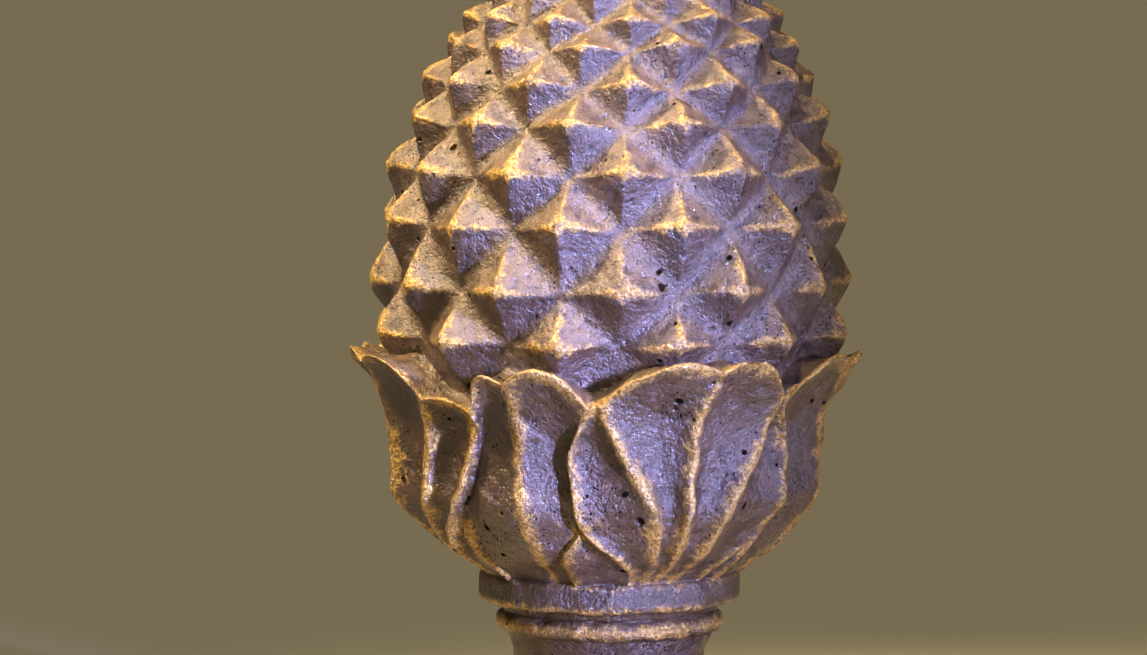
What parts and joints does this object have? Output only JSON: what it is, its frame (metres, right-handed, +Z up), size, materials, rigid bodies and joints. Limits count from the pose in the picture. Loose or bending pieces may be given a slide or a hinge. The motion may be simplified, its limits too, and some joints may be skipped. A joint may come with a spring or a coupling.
{
  "type": "acorn finial",
  "caption": "Cast finial in the form of an acorn: an egg-shaped cone of pointed scales in a cup of fluted leaves, on a moulded neck and a square plinth.",
  "frame": {"origin": "centre of the square plinth's underside, on the axis of the turned neck", "axes": "+Z up along the axis of the neck, +X to the right and -Y towards the viewer as pictured, with the plinth's sides along X and Y"},
  "size_m": [0.2022, 0.2018, 0.3531],
  "materials": {
    "painted_cast_stone": "cast stone painted mauve brown with a soft sheen, gilt rubbed on the raised edges, small air-bubble pits"
  },
  "bodies": {
    "root": {"acorn_finial": "painted_cast_stone"}
  },
  "joints": []
}
